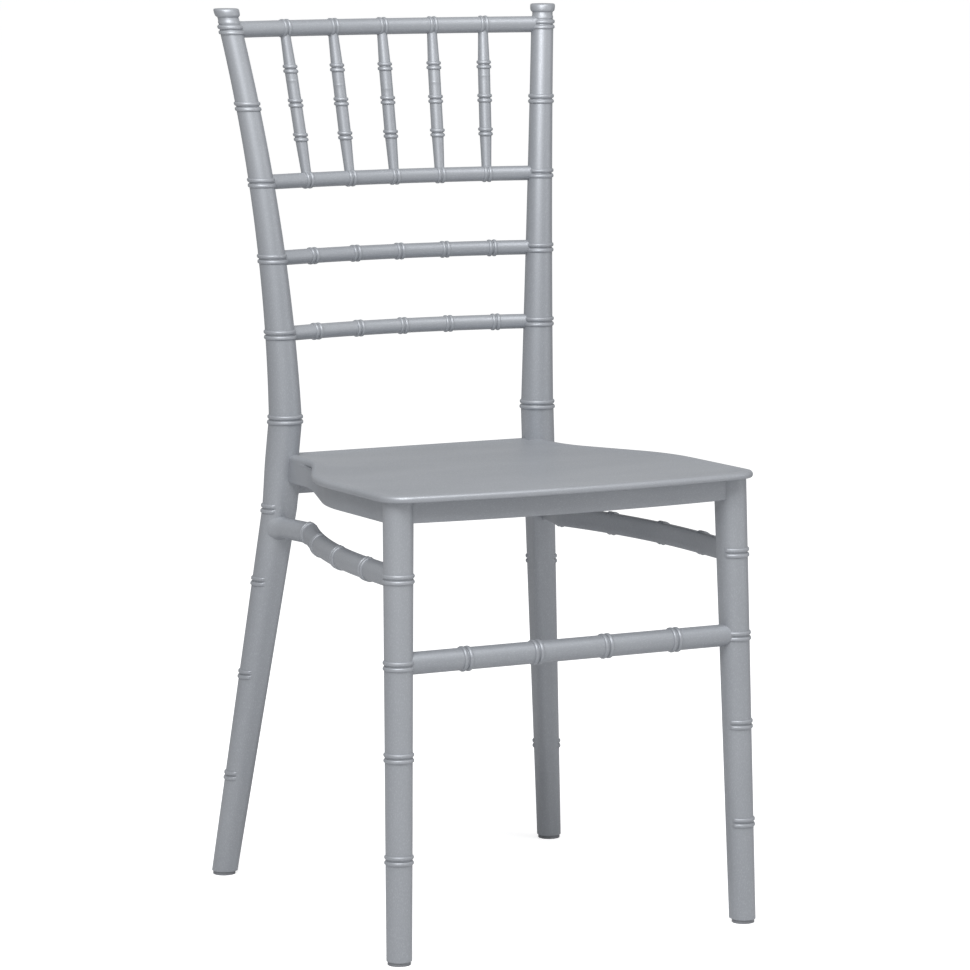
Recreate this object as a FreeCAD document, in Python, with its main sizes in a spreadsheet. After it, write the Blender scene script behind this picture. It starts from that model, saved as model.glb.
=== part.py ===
import FreeCAD, Part
import math
import os
import re
import Sketcher

# A stacking banquet chair with bamboo-style rings, all of moulded plastic.
# Millimetres. The floor is z = 0, the front of the seat faces -Y and +Z is up.
# What comes in pairs is modelled on the -X side and mirrored to the other.

doc = FreeCAD.newDocument("chiavari_chair")
sheet = doc.addObject("Spreadsheet::Sheet", "Sizes")

SIZES = [
    # rear posts, floor to finial
    ("postHeight", 920.0, "top of the finial above the floor"),
    ("postTopX", 185.5, "half distance between the post tops"),
    ("postTopY", 216.1, "post top behind the origin"),
    ("postWaistX", 148.0, "half distance at the waist, where the posts are closest"),
    ("postWaistY", 154.6, "waist behind the origin"),
    ("postFlareX", 0.024, "outward slope just above the waist"),
    ("postFlareY", 0.029, "backward slope just above the waist"),
    ("waistRingZ", 494.0, "height of the waist ring"),
    ("kneeZ", 400.0, "height where the leg becomes straight, with its first ring"),
    ("kneeX", 154.5, "half distance at the knee"),
    ("kneeY", 161.5, "knee behind the origin"),
    ("rearFootX", 195.8, "half distance between the rear feet"),
    ("rearFootY", 217.1, "rear feet behind the origin"),
    ("postTopRadius", 12.0, "post radius at the top ring"),
    ("postWaistRadius", 17.3, "post radius at the waist ring"),
    ("postSeatRadius", 17.6, "post radius where it passes the seat"),
    ("kneeRadius", 16.3, "round radius of the leg at the knee"),
    ("rearFootRadius", 13.1, "round radius of the rear foot"),
    ("kneeCorner", 3.0, "corner radius of the leg's squared quarter at the knee"),
    ("rearFootCorner", 9.5, "corner radius of the squared quarter at the foot"),
    ("topRingZ", 898.0, "height of the top ring and of the top rail"),
    ("ringPitch", 78.8, "spacing of the five upper rings"),
    ("kneeRingStart", 4.0, "degrees from the inner side where the knee's ring begins"),
    ("kneeRingSweep", 236.0, "degrees that the knee's ring covers"),
    ("neckRadius", 11.0, "finial neck"),
    ("finialRadius", 13.4, "finial head"),
    ("finialHeight", 9.0, "finial head height"),
    ("finialBevel", 1.4, "finial top bevel"),
    # bamboo rings
    ("ringHeight", 9.6, "height of a ring on a post"),
    ("beadRise", 1.6, "how far a ring stands out"),
    # front legs
    ("frontFootX", 194.2, "half distance between the front feet"),
    ("frontFootY", -217.6, "front feet in front of the origin"),
    ("frontTopX", 185.8, "half distance at the seat"),
    ("frontTopY", -200.2, "front leg at the seat"),
    ("frontFootRadius", 12.7, "round radius of the front foot"),
    ("frontTopRadius", 15.2, "round radius under the seat"),
    ("frontCorner", 8.0, "corner radius of the squared quarter"),
    ("frontStretcherZ", 296.0, "axis height of the front stretcher"),
    # back rails, each an arc bowed backwards
    ("railBow", 21.0, "how far a rail's middle lies behind its ends"),
    ("topRailRadius", 8.65, "top rail"),
    ("railRadius", 7.85, "the other three rails"),
    ("railEndGap", 3.0, "rail end short of the post's axis"),
    ("topSpindlePitch", 58.2, "spindle spacing at the top rail"),
    ("lowSpindlePitch", 52.6, "spindle spacing at the second rail"),
    # spindles
    ("spindleRadius", 6.1, "spindle"),
    ("spindleLetIn", 4.5, "spindle end inside its rail"),
    # stretchers
    ("stretcherRadius", 11.1, "front and side stretchers"),
    ("frontStretcherEndGap", 6.0, "stretcher end short of the leg's axis"),
    ("sideStretcherZ", 380.5, "axis height of the side stretchers"),
    ("sideFlat", 4.0, "flat inner face of a side stretcher, inside its axis"),
    ("sideKneeY", 95.1, "side stretcher's bend behind the origin"),
    ("sideKneeRadius", 34.0, "radius of the bend"),
    ("sideBowRadius", 640.0, "radius of the long outward curve"),
    ("sideBowX", 187.0, "greatest half distance of the side stretcher"),
    ("sideBowY", -136.4, "where the long curve runs straight forward"),
    ("sideRearLetIn", 7.5, "stretcher end inside the rear leg's front face"),
    ("sideFrontLetIn", 6.5, "stretcher end inside the front leg's back face"),
    # seat
    ("seatZ", 460.1, "top of the seat's rim above the origin"),
    ("seatRake", 1.07, "degrees that the seat falls to the rear"),
    ("seatNeckX", 150.0, "half width between the rear posts"),
    ("seatWideX", 208.0, "half width of the rim"),
    ("skirtWideX", 197.5, "half width of the skirt"),
    ("seatRearY", 165.1, "rear edge behind the origin"),
    ("seatFrontY", -241.4, "front edge at the middle"),
    ("apronFrontY", -222.9, "front apron at the middle"),
    ("frontBowRadius", 1200.0, "radius of the front edge"),
    ("rimCornerRadius", 30.0, "front corner of the rim"),
    ("skirtCornerRadius", 16.0, "front corner of the skirt, inside the leg"),
    ("ogeeStartY", 106.1, "where the side leaves the neck"),
    ("ogeeEndY", -83.9, "where the side reaches its full width"),
    ("ogeeHollow", 110.0, "radius of the hollow part of the side"),
    ("ogeeRound", 190.0, "radius of the round part of the side"),
    ("rimThickness", 7.0, "thickness of the rim"),
    ("rimBevel", 2.0, "bevel of the rim's edge"),
    ("rimLand", 14.0, "raised land between the edge and the dished part"),
    ("dishDepth", 2.5, "depth of the dished part"),
    ("skirtDepth", 29.0, "skirt's bottom edge below the top of the rim"),
    ("rearApronDepth", 44.0, "rear apron's bottom edge below the top of the rim"),
    ("skirtWall", 3.2, "wall of the skirt and aprons"),
    ("ribHeight", 8.0, "ribs under the seat"),
    ("ribWall", 2.6, "rib thickness"),
    ("ribPitchX", 62.0, "spacing of the fore-and-aft ribs"),
    ("ribPitchY", 66.0, "spacing of the cross ribs"),
    # joints between the members
    ("fit", 0.15, "clearance round anything let into a member"),
    ("pegRadius", 6.0, "seat peg in the hollow top of a front leg"),
    ("pegLength", 26.0, "seat peg below the rim's underside"),
    ("tenonWide", 12.0, "seat tenon, across"),
    ("tenonTall", 16.0, "seat tenon, height"),
    ("tenonDrop", 11.0, "top of the tenon below the rim's top"),
    ("tenonLetIn", 7.0, "seat tenon inside the post"),
    ("tenonRoot", 12.0, "tenon block in front of the post"),
    # feet
    ("glideHeight", 4.0, "visible height of a foot glide"),
    ("glideInset", 1.2, "glide smaller than the foot all round"),
    ("glideSides", 16.0, "flats round the edge of a glide"),
    ("stemWide", 9.0, "glide stem, square"),
    ("stemLength", 16.0, "glide stem inside the leg"),
]

for row, (alias, value, note) in enumerate(SIZES, start=1):
    sheet.set("A%d" % row, alias)
    sheet.set("B%d" % row, str(value))
    sheet.set("C%d" % row, note)
    sheet.setAlias("B%d" % row, alias)
doc.recompute()


def size(alias):
    """Value of one named size."""
    return float(getattr(sheet, alias))


ALIASES = {alias for alias, value, note in SIZES}


def cell(text):
    """Turns the bare size names in an expression into references to the sheet."""
    def reference(match):
        word = match.group(0)
        return "Sizes." + word if word in ALIASES else word
    return re.sub(r"(?<![\w.])[A-Za-z]\w*", reference, text)


probe = doc.addObject("Part::Vertex", "probe")


def value(text):
    """Number that an expression of sizes comes to."""
    probe.setExpression("X", cell(text))
    probe.recompute()
    return float(probe.X)


def bind(item, **expressions):
    """Binds properties of an object; double underscores stand for dots."""
    for prop, expression in expressions.items():
        item.setExpression(prop.replace("__", "."), cell(expression))
    return item


def placeAt(item, x, y, z):
    """Binds an object's place."""
    return bind(item, Placement__Base__x=x, Placement__Base__y=y, Placement__Base__z=z)


def circle(name, x, y, z, radius):
    """A horizontal circle, one section of a turned member."""
    item = doc.addObject("Part::Circle", name)
    bind(item, Radius=radius)
    return placeAt(item, x, y, z)


def aim(item, first, second):
    """Places an object at one point with its Z axis towards a second, both as expressions."""
    dx, dy, dz = ("((%s) - (%s))" % (b, a) for a, b in zip(first, second))
    aside = "sqrt(%s^2 + %s^2)" % (dx, dy)
    length = "sqrt(%s^2 + %s^2 + %s^2)" % (dx, dy, dz)
    place = "create(<<placement>>; create(<<vector>>; %s; %s; %s); " % first
    turn = "create(<<rotation>>; create(<<vector>>; -%s / %s; %s / %s; 0); acos(%s / %s)))" % (
        dy, aside, dx, aside, dz, length)
    item.setExpression("Placement", cell(place + turn))
    return length


def rod(name, first, second, radius, extra="0"):
    """A round rod between two points; `extra` lengthens its far end."""
    item = doc.addObject("Part::Cylinder", name)
    length = aim(item, first, second)
    return bind(item, Radius=radius, Height="%s + %s" % (length, extra))


def ring(name, x, y, z, radius, start="0", sweep="360"):
    """A level ring round a member where two of its stretches meet."""
    item = doc.addObject("Part::Cylinder", name)
    bind(item, Radius=radius + " + beadRise", Height="ringHeight", Angle=sweep)
    item.Placement.Rotation = FreeCAD.Rotation(FreeCAD.Vector(0, 0, 1), 1)
    bind(item, Placement__Rotation__Angle=start)
    return placeAt(item, x, y, "%s - ringHeight / 2" % z)


def levelled(name, item, x, y, z, side):
    """What is left of a leaning stretch after a level cut above (1) or below (-1) a height."""
    box = doc.addObject("Part::Box", name + "_off")
    bind(box, Length="160", Width="160", Height="80")
    placeAt(box, x + " - 80", y + " - 80", z if side > 0 else z + " - 80")
    return cut(name, item, box)


def loft(name, sections):
    """A solid ruled through its sections."""
    item = doc.addObject("Part::Loft", name)
    item.Sections = sections
    item.Solid = True
    item.Ruled = True
    return item


def fuse(name, shapes):
    item = doc.addObject("Part::MultiFuse", name)
    item.Shapes = shapes
    item.Refine = False
    return item


def cut(name, base, tool):
    item = doc.addObject("Part::Cut", name)
    item.Base = base
    item.Tool = tool
    item.Refine = False
    return item


def mirror(name, source):
    """The right-hand copy of a left-hand member."""
    item = doc.addObject("Part::Mirroring", name)
    item.Source = source
    item.Base = (0, 0, 0)
    item.Normal = (1, 0, 0)
    return item


NODES = []


def node(item, label):
    """Gives a finished sub-part the name of its file."""
    item.Label = label
    NODES.append(item)
    return item


def legSection(name, radius, corner, turn):
    """Round section whose one quarter is squared, its corner turned by `turn` degrees."""
    sketch = doc.addObject("Sketcher::SketchObject", name)
    r = 15.0
    c = 6.0
    up = FreeCAD.Vector(0, 0, 1)
    turned = FreeCAD.Rotation(up, turn)
    half = math.pi / 2
    shift = math.radians(turn)

    def point(x, y):
        return turned.multVec(FreeCAD.Vector(x, y, 0))

    sketch.addGeometry(Part.ArcOfCircle(Part.Circle(point(0, 0), up, r), half + shift, 4 * half + shift))
    sketch.addGeometry(Part.LineSegment(point(r, 0), point(r, r - c)))
    sketch.addGeometry(Part.ArcOfCircle(Part.Circle(point(r - c, r - c), up, c), shift, half + shift))
    sketch.addGeometry(Part.LineSegment(point(r - c, r), point(0, r)))
    sketch.addConstraint(Sketcher.Constraint("Coincident", 0, 3, -1, 1))
    sketch.addConstraint(Sketcher.Constraint("Tangent", 0, 2, 1, 1))
    sketch.addConstraint(Sketcher.Constraint("Tangent", 1, 2, 2, 1))
    sketch.addConstraint(Sketcher.Constraint("Tangent", 2, 2, 3, 1))
    sketch.addConstraint(Sketcher.Constraint("Tangent", 3, 2, 0, 1))
    kinds = ["Vertical", "Horizontal"]
    if turn:
        kinds.reverse()
    sketch.addConstraint(Sketcher.Constraint(kinds[0], 1))
    sketch.addConstraint(Sketcher.Constraint(kinds[1], 3))
    outer = sketch.addConstraint(Sketcher.Constraint("Radius", 0, r))
    inside = sketch.addConstraint(Sketcher.Constraint("Radius", 2, c))
    sketch.renameConstraint(outer, "outer")
    sketch.renameConstraint(inside, "inside")
    return bind(sketch, Constraints__outer=radius, Constraints__inside=corner)


def squared(name, first, second, radius, corner, turn, extra):
    """A stretch of squared leg from one point up to another, and `extra` beyond it."""
    section = legSection(name + "_section", radius, corner, turn)
    length = aim(section, first, second)
    item = doc.addObject("Part::Extrusion", name)
    item.Base = section
    item.DirMode = "Normal"
    item.Solid = True
    return bind(item, LengthFwd="%s + %s" % (length, extra))


def tapered(name, axis, radius, corner, top, turn):
    """The free part of a leg, tapering evenly from `top` down to the foot."""
    high = legSection(name + "_high", radius(top), corner(top), turn)
    low = legSection(name + "_low", radius("glideHeight"), corner("glideHeight"), turn)
    aim(high, point(axis, top), point(axis, "(%s + 1)" % top))
    placeAt(low, *point(axis, "glideHeight"))
    return loft(name, [high, low])


def legTop(name, top, axis, level, radius, corner, turn, grow="0"):
    """The even part of a leg below the seat, cut level where it starts."""
    stretch = squared(name, point(axis, level), top, radius + " + " + grow, corner + " + " + grow, turn,
                      "ringHeight")
    return levelled(name + "_cut", stretch, top[0], top[1], top[2] + " + " + grow, 1)


def point(axis, z):
    return axis(z) + (z,)


def upperAxis(z):
    """Expressions for the post's axis above its waist: it flares out and back."""
    run = "((%s) - waistRingZ)" % z
    whole = "(postHeight - waistRingZ)"
    out = []
    for letter in "XY":
        flare = "postFlare%s" % letter
        rest = "(postTop%s - postWaist%s - %s * %s)" % (letter, letter, flare, whole)
        out.append("(postWaist%s + %s * %s + %s * (%s / %s)^2)" % (letter, flare, run, rest, run, whole))
    return "-" + out[0], out[1]


def lowerAxis(z):
    """Expressions for the straight rear leg, from the knee to the foot."""
    share = "((%s) / kneeZ)" % z
    x = "-(rearFootX + (kneeX - rearFootX) * %s)" % share
    y = "(rearFootY + (kneeY - rearFootY) * %s)" % share
    return x, y


def upperRadius(z):
    """The post swells towards its waist."""
    share = "((topRingZ - (%s)) / (topRingZ - waistRingZ))" % z
    return "(postTopRadius + (postWaistRadius - postTopRadius) * %s^1.6)" % share


def seatTop(y):
    """Height of the rim's top at a place y, the seat being raked."""
    return "(seatZ - tan(seatRake) * (%s))" % y


POST_AT_SEAT_Z = "(%s - rimThickness - 2 * fit)" % seatTop("postWaistY + postSeatRadius")
AT_SEAT = "((waistRingZ - %s) / (waistRingZ - kneeZ))" % POST_AT_SEAT_Z
POST_AT_SEAT = ("-(postWaistX + (kneeX - postWaistX) * %s)" % AT_SEAT,
                "(postWaistY + (kneeY - postWaistY) * %s)" % AT_SEAT)

headX, headY = upperAxis("postHeight - finialHeight / 2")
head = loft("post_head", [
    circle("head_a", headX, headY, "postHeight", "finialRadius - finialBevel"),
    circle("head_b", headX, headY, "postHeight - finialBevel", "finialRadius"),
    circle("head_c", headX, headY, "postHeight - finialHeight + finialBevel", "finialRadius"),
    circle("head_d", headX, headY, "postHeight - finialHeight", "neckRadius"),
])
postParts = [head, rod("post_neck", point(upperAxis, "topRingZ"),
                       (headX, headY, "(postHeight - finialHeight / 2)"), "neckRadius")]
for number in range(6):
    level = "(topRingZ - %d * ringPitch)" % number if number < 5 else "waistRingZ"
    under = "(topRingZ - %d * ringPitch)" % (number + 1) if number < 4 else "waistRingZ"
    x, y = upperAxis(level)
    if number < 5:
        below = upperRadius("((%s + %s) / 2)" % (level, under))
        postParts.append(rod("post_stretch_%d" % number, point(upperAxis, under), (x, y, level), below))
    else:
        below = "postSeatRadius"
    postParts.append(ring("post_ring_%d" % number, x, y, level, below))


def waistStretch(name, grow):
    """The round stretch that passes the seat, cut level where the squared leg begins."""
    foot = point(lowerAxis, "kneeZ")
    item = rod(name + "_whole", foot, ("-postWaistX", "postWaistY", "waistRingZ"),
               "postSeatRadius + " + grow)
    return levelled(name, item, POST_AT_SEAT[0], POST_AT_SEAT[1], "%s + %s" % (POST_AT_SEAT_Z, grow), -1)


def lowerRadius(z):
    return "(rearFootRadius + (kneeRadius - rearFootRadius) * min(1; (%s) / kneeZ))" % z


def lowerCorner(z):
    return "(rearFootCorner + (kneeCorner - rearFootCorner) * min(1; (%s) / kneeZ))" % z


BELOW_SOCKET = "(sideStretcherZ - stretcherRadius - 4)"
kneePoint = point(lowerAxis, "kneeZ")
postParts.append(waistStretch("post_waist", "0"))
postParts.append(legTop("post_under_seat", POST_AT_SEAT + (POST_AT_SEAT_Z,), lowerAxis, "kneeZ",
                        "kneeRadius", "kneeCorner", -90))
postParts.append(squared("post_knee", point(lowerAxis, BELOW_SOCKET), kneePoint, lowerRadius(BELOW_SOCKET),
                         lowerCorner(BELOW_SOCKET), -90, "0"))
postParts.append(ring("knee_ring", *kneePoint, "kneeRadius", "kneeRingStart", "kneeRingSweep"))
postParts.append(tapered("rear_leg", lowerAxis, lowerRadius, lowerCorner, BELOW_SOCKET, -90))
postBlank = fuse("post_blank", postParts)
footX, footY = lowerAxis("glideHeight")


# Front legs: straight, tapering to the foot, squared towards the seat's middle.
def frontAxis(z):
    share = "((%s) / seatZ)" % z
    x = "-(frontFootX + (frontTopX - frontFootX) * %s)" % share
    y = "(frontFootY + (frontTopY - frontFootY) * %s)" % share
    return x, y


def frontRadius(z):
    return "(frontFootRadius + (frontTopRadius - frontFootRadius) * (%s) / seatZ)" % z


FRONT_TOP = "(%s - rimThickness - 2 * fit)" % seatTop("frontTopY + frontTopRadius")
BELOW_STRETCHER = "(frontStretcherZ - stretcherRadius - 4)"


def frontCorner(z):
    return "frontCorner"


frontBlank = fuse("front_blank", [
    legTop("front_leg_top", point(frontAxis, FRONT_TOP), frontAxis, BELOW_STRETCHER,
           frontRadius(BELOW_STRETCHER), "frontCorner", 0),
    tapered("front_leg_free", frontAxis, frontRadius, frontCorner, BELOW_STRETCHER, 0)])


# Back rails: level and bowed backwards, in straight runs mitred together.
def plane(body, role):
    return next(item for item in body.Origin.OriginFeatures if item.Role == role)


def sketchOn(body, name, role):
    """A sketch on one of its body's origin planes."""
    sketch = body.newObject("Sketcher::SketchObject", name)
    sketch.AttachmentSupport = [(plane(body, role), "")]
    sketch.MapMode = "FlatFace"
    return sketch


def hold(sketch, number, kind, text, at, end=1):
    """Fixes one coordinate of a point to an expression, or to the axis where it is zero."""
    if abs(at) < 1e-9:
        axis = -2 if kind == "DistanceX" else -1
        sketch.addConstraint(Sketcher.Constraint("PointOnObject", number, end, axis))
        return
    name = "%s%d_%d" % (kind[-1].lower(), number, end)
    index = sketch.addConstraint(Sketcher.Constraint(kind, -1, 1, number, end, at))
    sketch.renameConstraint(index, name)
    sketch.setExpression("Constraints." + name, cell(text))


def polyline(sketch, points):
    """Closed outline through points given as pairs of expressions."""
    places = [FreeCAD.Vector(value(x), value(y), 0) for x, y in points]
    count = len(points)
    for number, place in enumerate(places):
        sketch.addGeometry(Part.LineSegment(place, places[(number + 1) % count]))
    for number in range(count):
        sketch.addConstraint(Sketcher.Constraint("Coincident", number, 2, (number + 1) % count, 1))
    for number, (x, y) in enumerate(points):
        hold(sketch, number, "DistanceX", x, places[number].x)
        hold(sketch, number, "DistanceY", y, places[number].y)


class RailLine:
    """Where a back rail runs: through the post's ring, bowed backwards."""

    def __init__(self, level):
        self.z = level
        x, y = upperAxis(level)
        self.halfSpan = "(-(%s))" % x
        self.radius = "((%s^2 + railBow^2) / (2 * railBow))" % self.halfSpan
        self.centreY = "(%s + railBow - %s)" % (y, self.radius)
        self.endX = "(%s - railEndGap)" % self.halfSpan

    def y(self, x):
        return "(%s + sqrt(%s^2 - (%s)^2))" % (self.centreY, self.radius, x)

    def angle(self, x):
        return "asin((%s) / %s)" % (x, self.radius)


def rail(name, line, radius, places):
    """A round rail swept along its line, mitred at each kink."""
    places = ["-" + line.endX] + places + [line.endX]
    route = doc.addObject("Sketcher::SketchObject", name + "_route")
    points = [FreeCAD.Vector(value(x), value(line.y(x)), 0) for x in places]
    for number in range(len(points) - 1):
        route.addGeometry(Part.LineSegment(points[number], points[number + 1]))
    for number in range(len(points) - 2):
        route.addConstraint(Sketcher.Constraint("Coincident", number, 2, number + 1, 1))
    for number, x in enumerate(places):
        edge, end = (number, 1) if number < len(points) - 1 else (number - 1, 2)
        hold(route, edge, "DistanceX", x, points[number].x, end)
        hold(route, edge, "DistanceY", line.y(x), points[number].y, end)
    placeAt(route, "0", "0", line.z)
    section = doc.addObject("Part::Circle", name + "_section")
    bind(section, Radius=radius)
    aim(section, *((places[n], line.y(places[n]), line.z) for n in (0, 1)))
    item = doc.addObject("Part::Sweep", name + "_blank")
    item.Sections = [section]
    item.Spine = (route, ["Edge%d" % (n + 1) for n in range(len(points) - 1)])
    item.Solid = True
    item.Transition = "Right corner"
    return item


def railSocket(name, line, radius, places):
    """Space that a rail's left end takes in the post, with clearance."""
    inner, outer = ((x, line.y(x), line.z) for x in (places[0], "-" + line.endX))
    return rod(name, inner, outer, radius + " + fit", "fit")


RAILS = [("top_rail", 0, "topRailRadius", "topSpindlePitch", 2),
         ("cross_rail_upper", 2, "railRadius", "lowSpindlePitch", 2),
         ("cross_rail_middle", 3, "railRadius", "(1.6 * lowSpindlePitch)", 1),
         ("cross_rail_lower", 4, "railRadius", "(1.6 * lowSpindlePitch)", 1)]
lines = {}
railBodies = {}
postTools = []
for name, ringNumber, radius, pitch, steps in RAILS:
    places = ["%d * %s" % (step, pitch) for step in range(-steps, steps + 1)]
    lines[name] = RailLine("(topRingZ - %d * ringPitch)" % ringNumber)
    railBodies[name] = rail(name, lines[name], radius, places)
    postTools.append(railSocket(name + "_socket", lines[name], radius, places))


# Spindles: fanned turned members between the top rail and the next one down.
SPINDLE_TOP = "(%s - topRailRadius + spindleLetIn)" % lines["top_rail"].z
SPINDLE_FOOT = "(%s + railRadius - spindleLetIn)" % lines["cross_rail_upper"].z
SPINDLE_MIDDLE = "((%s + %s) / 2)" % (lines["top_rail"].z, lines["cross_rail_upper"].z)


def spindleAxis(number, z):
    """Expressions for a spindle's axis; number counts outwards from the middle."""
    share = "((%s - %s) / (%s - %s))" % (z, SPINDLE_FOOT, SPINDLE_TOP, SPINDLE_FOOT)
    topX = "%d * topSpindlePitch" % number
    footX = "%d * lowSpindlePitch" % number
    topY = lines["top_rail"].y(topX)
    footY = lines["cross_rail_upper"].y(footX)
    return ("(%s + (%s - %s) * %s)" % (footX, topX, footX, share),
            "(%s + (%s - %s) * %s)" % (footY, topY, footY, share))


def spindle(name, number):
    """A spindle and the two sockets that its ends take in the rails."""
    foot, middle, top = (spindleAxis(number, level) + (level,)
                         for level in (SPINDLE_FOOT, SPINDLE_MIDDLE, SPINDLE_TOP))
    grown = "spindleRadius + fit"
    return rod(name + "_blank", foot, top, "spindleRadius"), (
        rod(name + "_top_socket", middle, top, grown, "fit"),
        rod(name + "_foot_socket", middle, foot, grown, "fit"))


topSockets = []
footSockets = []
spindles = {}
for name, number in (("spindle_1", -2), ("spindle_2", -1), ("spindle_3", 0)):
    spindles[name], (top, foot) = spindle(name, number)
    topSockets.append(top)
    footSockets.append(foot)
for name, source in (("spindle_4", "spindle_2"), ("spindle_5", "spindle_1")):
    spindles[name] = mirror(name + "_blank", spindles[source])
    topSockets.append(mirror(name + "_top_socket", doc.getObject(source + "_top_socket")))
    footSockets.append(mirror(name + "_foot_socket", doc.getObject(source + "_foot_socket")))

node(cut("top_rail_cut", railBodies["top_rail"], fuse("top_sockets", topSockets)), "top_rail")
node(cut("upper_rail_cut", railBodies["cross_rail_upper"], fuse("foot_sockets", footSockets)),
     "cross_rail_upper")
node(railBodies["cross_rail_middle"], "cross_rail_middle")
node(railBodies["cross_rail_lower"], "cross_rail_lower")
for name in sorted(spindles):
    node(spindles[name], name)


# Front stretcher: one round member across the front.
legX, legY = frontAxis("frontStretcherZ")
ends = [(side + "(-(%s) - frontStretcherEndGap)" % legX, legY, "frontStretcherZ") for side in ("-", "")]
node(rod("front_stretcher_rod", ends[0], ends[1], "stretcherRadius"), "front_stretcher")
stretcherSocket = rod("front_stretcher_socket", ends[1], ends[0], "stretcherRadius + fit", "fit")


# Side stretchers: round outside, flat inside, bent outwards just in front of
# the rear leg and then bowed along a long curve to the front leg.
def sidePath():
    """Points of the left stretcher's path: ends, both bends' tangent points, arc middles."""
    level = "sideStretcherZ"
    z = size("sideStretcherZ")
    rearX, rearY = (value(text) for text in lowerAxis(level))
    frontX, frontY = (value(text) for text in frontAxis(level))
    start = FreeCAD.Vector(rearX, rearY - value(lowerRadius(level)) + size("sideRearLetIn"), z)
    finish = FreeCAD.Vector(frontX, frontY + value(frontRadius(level)) - size("sideFrontLetIn"), z)
    bow = size("sideBowRadius")
    bend = size("sideKneeRadius")
    bowStart = FreeCAD.Vector(-size("sideBowX"), size("sideBowY"), z)
    bowCentre = bowStart + FreeCAD.Vector(bow, 0, 0)
    kneeRise = size("sideKneeY") - bowStart.y
    knee = FreeCAD.Vector(bowCentre.x - math.sqrt(bow ** 2 - kneeRise ** 2), size("sideKneeY"), z)
    along = (knee - start).normalize()
    outward = FreeCAD.Vector(along.y, -along.x, 0)
    # The bend's centre lies `bend` outside the first run and `bow + bend` from
    # the long curve's centre.
    base = start + outward * bend - bowCentre
    half = base.dot(along)
    reach = -half - math.sqrt(half ** 2 - base.dot(base) + (bow + bend) ** 2)
    centre = start + outward * bend + along * reach
    bendStart = start + along * reach
    bendEnd = centre + (bowCentre - centre).normalize() * bend
    return start, bendStart, centre, bendEnd, bowCentre, bowStart, finish


start, bendStart, bendCentre, bendEnd, bowCentre, bowStart, finish = sidePath()
def acrossPath(at, along, point):
    """A section's point (sideways, up) set square to the path."""
    aside = FreeCAD.Vector(-along.y, along.x, 0)
    return at + aside * point[0] + FreeCAD.Vector(0, 0, point[1])


def sideRail(extra):
    """The rail along its path; `extra` grows the section for a socket."""
    radius = size("stretcherRadius") + extra
    flat = size("sideFlat") + extra
    high = math.sqrt(radius ** 2 - flat ** 2)
    along = (bendStart - start).normalize()
    corners = [acrossPath(start, along, point) for point in ((flat, -high), (-radius, 0), (flat, high))]
    section = Part.Wire([Part.Arc(*corners).toShape(), Part.makeLine(corners[2], corners[0])])
    return path.makePipeShell([section], True, True, 1)


def bowPlace(y):
    """Point on the long curve at a distance behind the origin."""
    rise = y - bowCentre.y
    return bowCentre + FreeCAD.Vector(-math.sqrt(size("sideBowRadius") ** 2 - rise ** 2), rise, 0)


kinks = [bendStart, bendEnd] + [bowPlace(bendEnd.y + (bowStart.y - bendEnd.y) * step / 3)
                                for step in (1, 2, 3)]
path = Part.makePolygon([start] + kinks + [finish])


def shaped(name, shape):
    """An object that carries a shape worked out above."""
    item = doc.addObject("Part::Feature", name)
    item.Shape = shape
    item.Placement = FreeCAD.Placement()
    return item


sideStretcher = shaped("side_rail", sideRail(0))
sideSocket = shaped("side_socket", sideRail(size("fit")))


# Seat: a dished plate with a proud rim, a skirt and ribs below it, a deeper
# apron at the rear, and an outline that narrows to pass between the posts.
class SeatPlan:
    """Outline of the seat at one offset inside its outer edge, all in numbers."""

    def __init__(self, wide, front, corner, inset):
        self.neck = size("seatNeckX") - inset
        self.rear = size("seatRearY") - inset
        self.wide = size(wide) - inset
        self.front = size(front) + inset
        self.corner = size(corner) - inset
        self.hollow = size("ogeeHollow") + inset
        self.round = size("ogeeRound") - inset
        self.bow = size("frontBowRadius") - inset
        self.start = size("ogeeStartY")
        self.end = size("ogeeEndY")

    def edges(self):
        """The right half from rear to front: lines and arcs as (kind, from, to, centre)."""
        both = self.hollow + self.round
        aside = both - (self.wide - self.neck)
        length = self.start - self.end
        straight = math.sqrt(aside ** 2 + length ** 2 - both ** 2)
        turn = math.atan2(length, aside) - math.atan2(straight, both)
        cosine, sine = math.cos(turn), math.sin(turn)
        hollowAt = FreeCAD.Vector(self.neck + self.hollow, self.start, 0)
        roundAt = FreeCAD.Vector(self.wide - self.round, self.end, 0)
        bowAt = FreeCAD.Vector(0, self.front + self.bow, 0)
        inner = self.bow - self.corner
        cornerAt = FreeCAD.Vector(self.wide - self.corner, 0, 0)
        cornerAt.y = bowAt.y - math.sqrt(inner ** 2 - cornerAt.x ** 2)
        points = [
            FreeCAD.Vector(self.neck, self.rear, 0),
            FreeCAD.Vector(self.neck, self.start, 0),
            hollowAt - FreeCAD.Vector(cosine, sine, 0) * self.hollow,
            roundAt + FreeCAD.Vector(cosine, sine, 0) * self.round,
            FreeCAD.Vector(self.wide, self.end, 0),
            FreeCAD.Vector(self.wide, cornerAt.y, 0),
            bowAt + (cornerAt - bowAt) * (self.bow / inner),
        ]
        centres = [None, hollowAt, None, roundAt, None, cornerAt]
        half = [(points[i], points[i + 1], centres[i]) for i in range(6)]
        return half, bowAt


def flipped(point):
    return FreeCAD.Vector(-point.x, point.y, point.z)


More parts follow.
